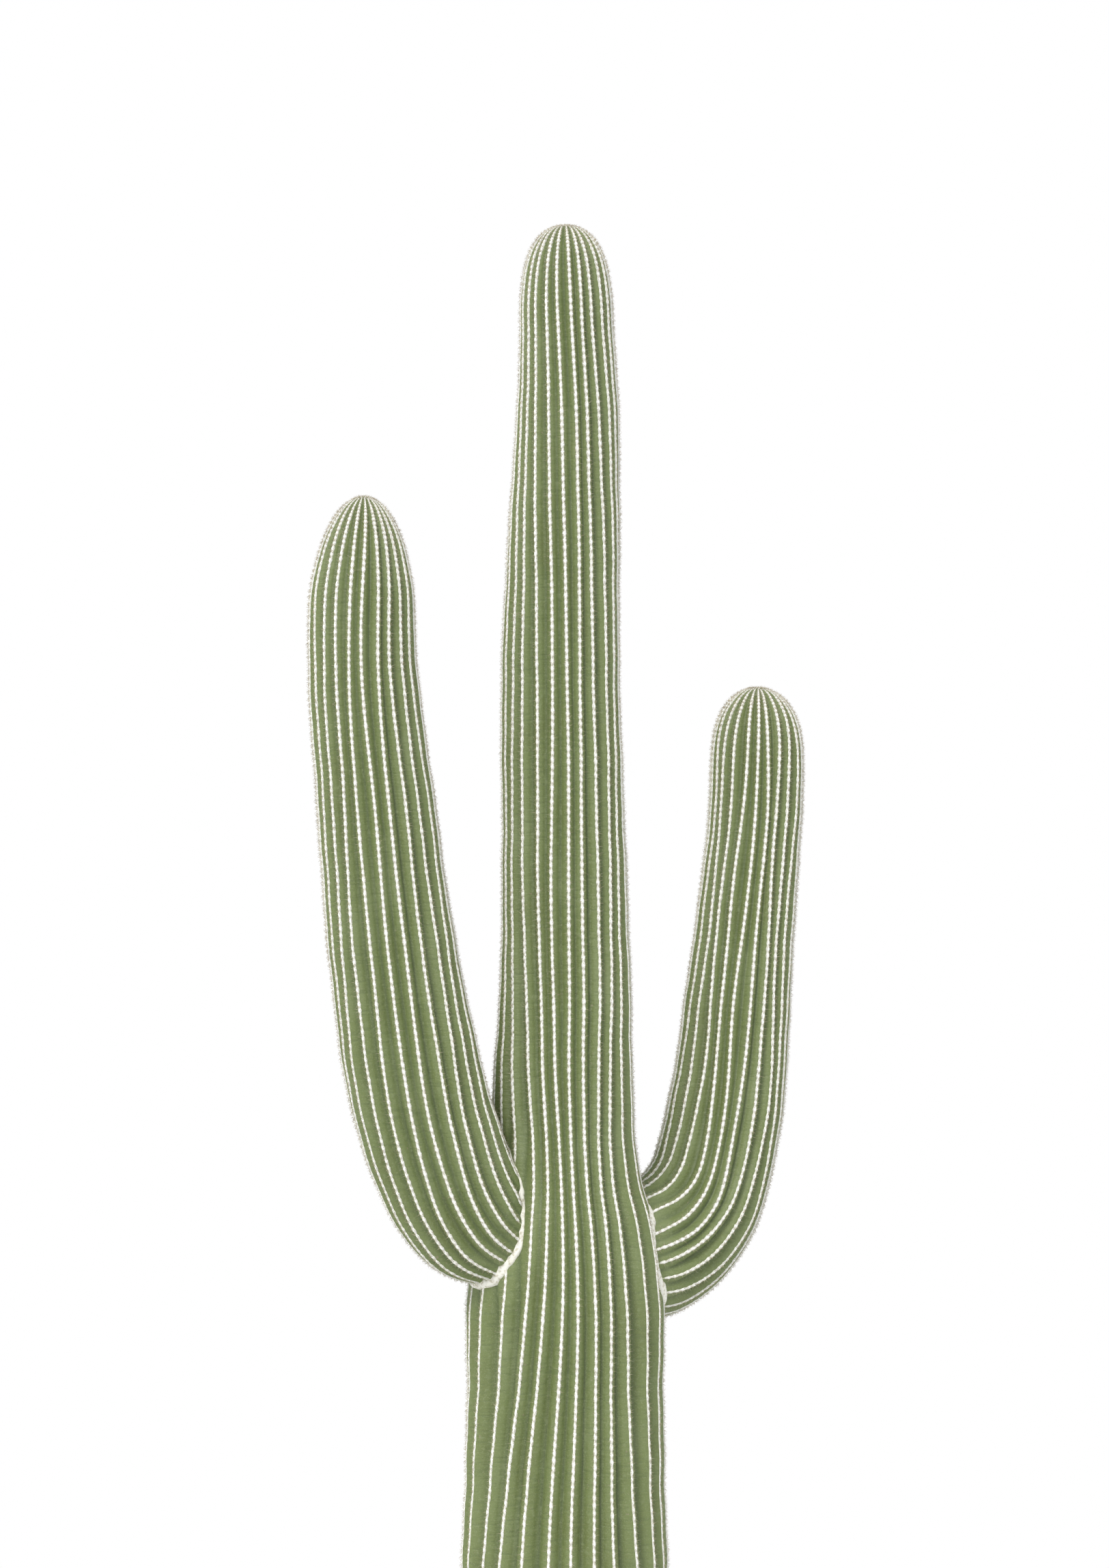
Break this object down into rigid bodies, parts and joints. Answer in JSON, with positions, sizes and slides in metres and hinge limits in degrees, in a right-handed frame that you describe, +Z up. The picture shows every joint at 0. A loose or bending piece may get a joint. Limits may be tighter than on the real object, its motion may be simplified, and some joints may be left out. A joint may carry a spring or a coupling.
{
  "type": "saguaro cactus",
  "caption": "Tree-like ribbed desert cactus: a tapering trunk with a domed tip, and arms that leave it at mid-height, sweep out and turn up beside it.",
  "frame": {"origin": "on the ground, in the middle of the flat cut under the trunk", "axes": "+Z up along the trunk, -Y towards the viewer of the picture, +X to the viewer's right"},
  "size_m": [1.4523, 0.9129, 5.0302],
  "materials": {
    "trunk_skin": "waxy grey-green skin, satin",
    "arm_skin": "waxy grey-green skin, satin",
    "areole_felt": "matt cream felt",
    "spine": "pale, smooth",
    "corky_seam": "matt pale cork"
  },
  "bodies": {
    "root": {"trunk": "trunk_skin", "left_arm_elbow": "arm_skin", "left_arm_upright": "arm_skin", "right_arm_elbow": "arm_skin", "right_arm_upright": "arm_skin"}
  },
  "joints": []
}
